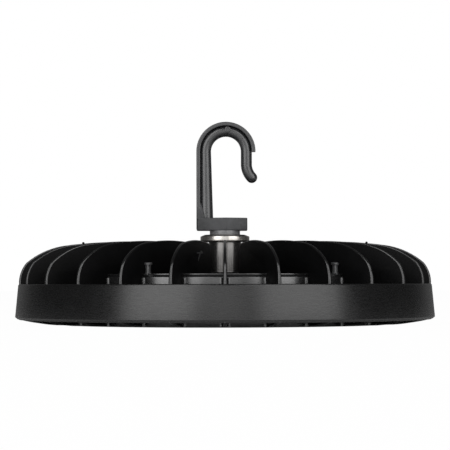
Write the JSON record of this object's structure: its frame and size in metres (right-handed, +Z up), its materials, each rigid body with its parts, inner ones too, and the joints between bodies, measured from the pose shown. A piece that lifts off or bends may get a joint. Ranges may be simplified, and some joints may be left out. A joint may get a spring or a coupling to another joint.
{
  "type": "high bay light",
  "caption": "Round industrial LED ceiling light with a cast hanging hook, radial cooling fins, a skirt ring and a domed clear lens plate underneath.",
  "frame": {"origin": "on the vertical axis, in the plane of the drum's lower rim, which the light stands on", "axes": "+Z up through the hook; -Y is the front, seen with the hook's throat open towards +X"},
  "size_m": [0.34, 0.34, 0.1645],
  "materials": {
    "black_powder_coat": "fine textured powder coat",
    "black_hook_coat": "satin coat on a casting",
    "satin_steel": "satin turned",
    "bright_nickel": "bright turned, nickel plated",
    "zinc_steel": "zinc plated",
    "bare_aluminium": "mill finish",
    "white_solder_mask": "gloss",
    "led_phosphor": "gloss",
    "white_nylon": "matt moulded",
    "clear_polycarbonate": "clear moulded",
    "white_silicone": "matt",
    "green_board": "gloss",
    "ferrite": "matt",
    "black_sleeve": "gloss sleeve",
    "brass_plate": "bright",
    "black_rubber": "matt",
    "black_nylon": "fine matt"
  },
  "bodies": {
    "root": {"heat_sink": "black_powder_coat", "hanging_hook": "black_hook_coat", "hook_collar": "satin_steel", "hub_flange": "bright_nickel", "hub_seal": "black_rubber", "hook_bolt": "zinc_steel", "hook_bolt_washer": "zinc_steel", "led_plate": "bare_aluminium", "led_plate_screws": "zinc_steel", "led_board": "white_solder_mask", "led_board_screws": "zinc_steel", "led_chips": "led_phosphor", "led_feed_connector": "white_nylon", "lens_plate": "clear_polycarbonate", "lens_gasket": "white_silicone", "lens_frame": "black_powder_coat", "lens_frame_screws": "zinc_steel", "driver_board": "green_board", "driver_cover": "white_nylon", "driver_screws": "zinc_steel", "driver_transformer": "ferrite", "driver_choke": "ferrite", "driver_inductor": "ferrite", "driver_capacitors": "black_sleeve", "driver_transistor": "bare_aluminium", "terminal_block": "white_nylon", "earth_screw": "brass_plate", "gland_washer": "black_rubber", "gland_body": "black_nylon", "gland_seal": "black_rubber", "gland_cap": "black_nylon", "gland_locknut": "black_nylon", "breather_vent": "black_nylon"}
  },
  "joints": []
}
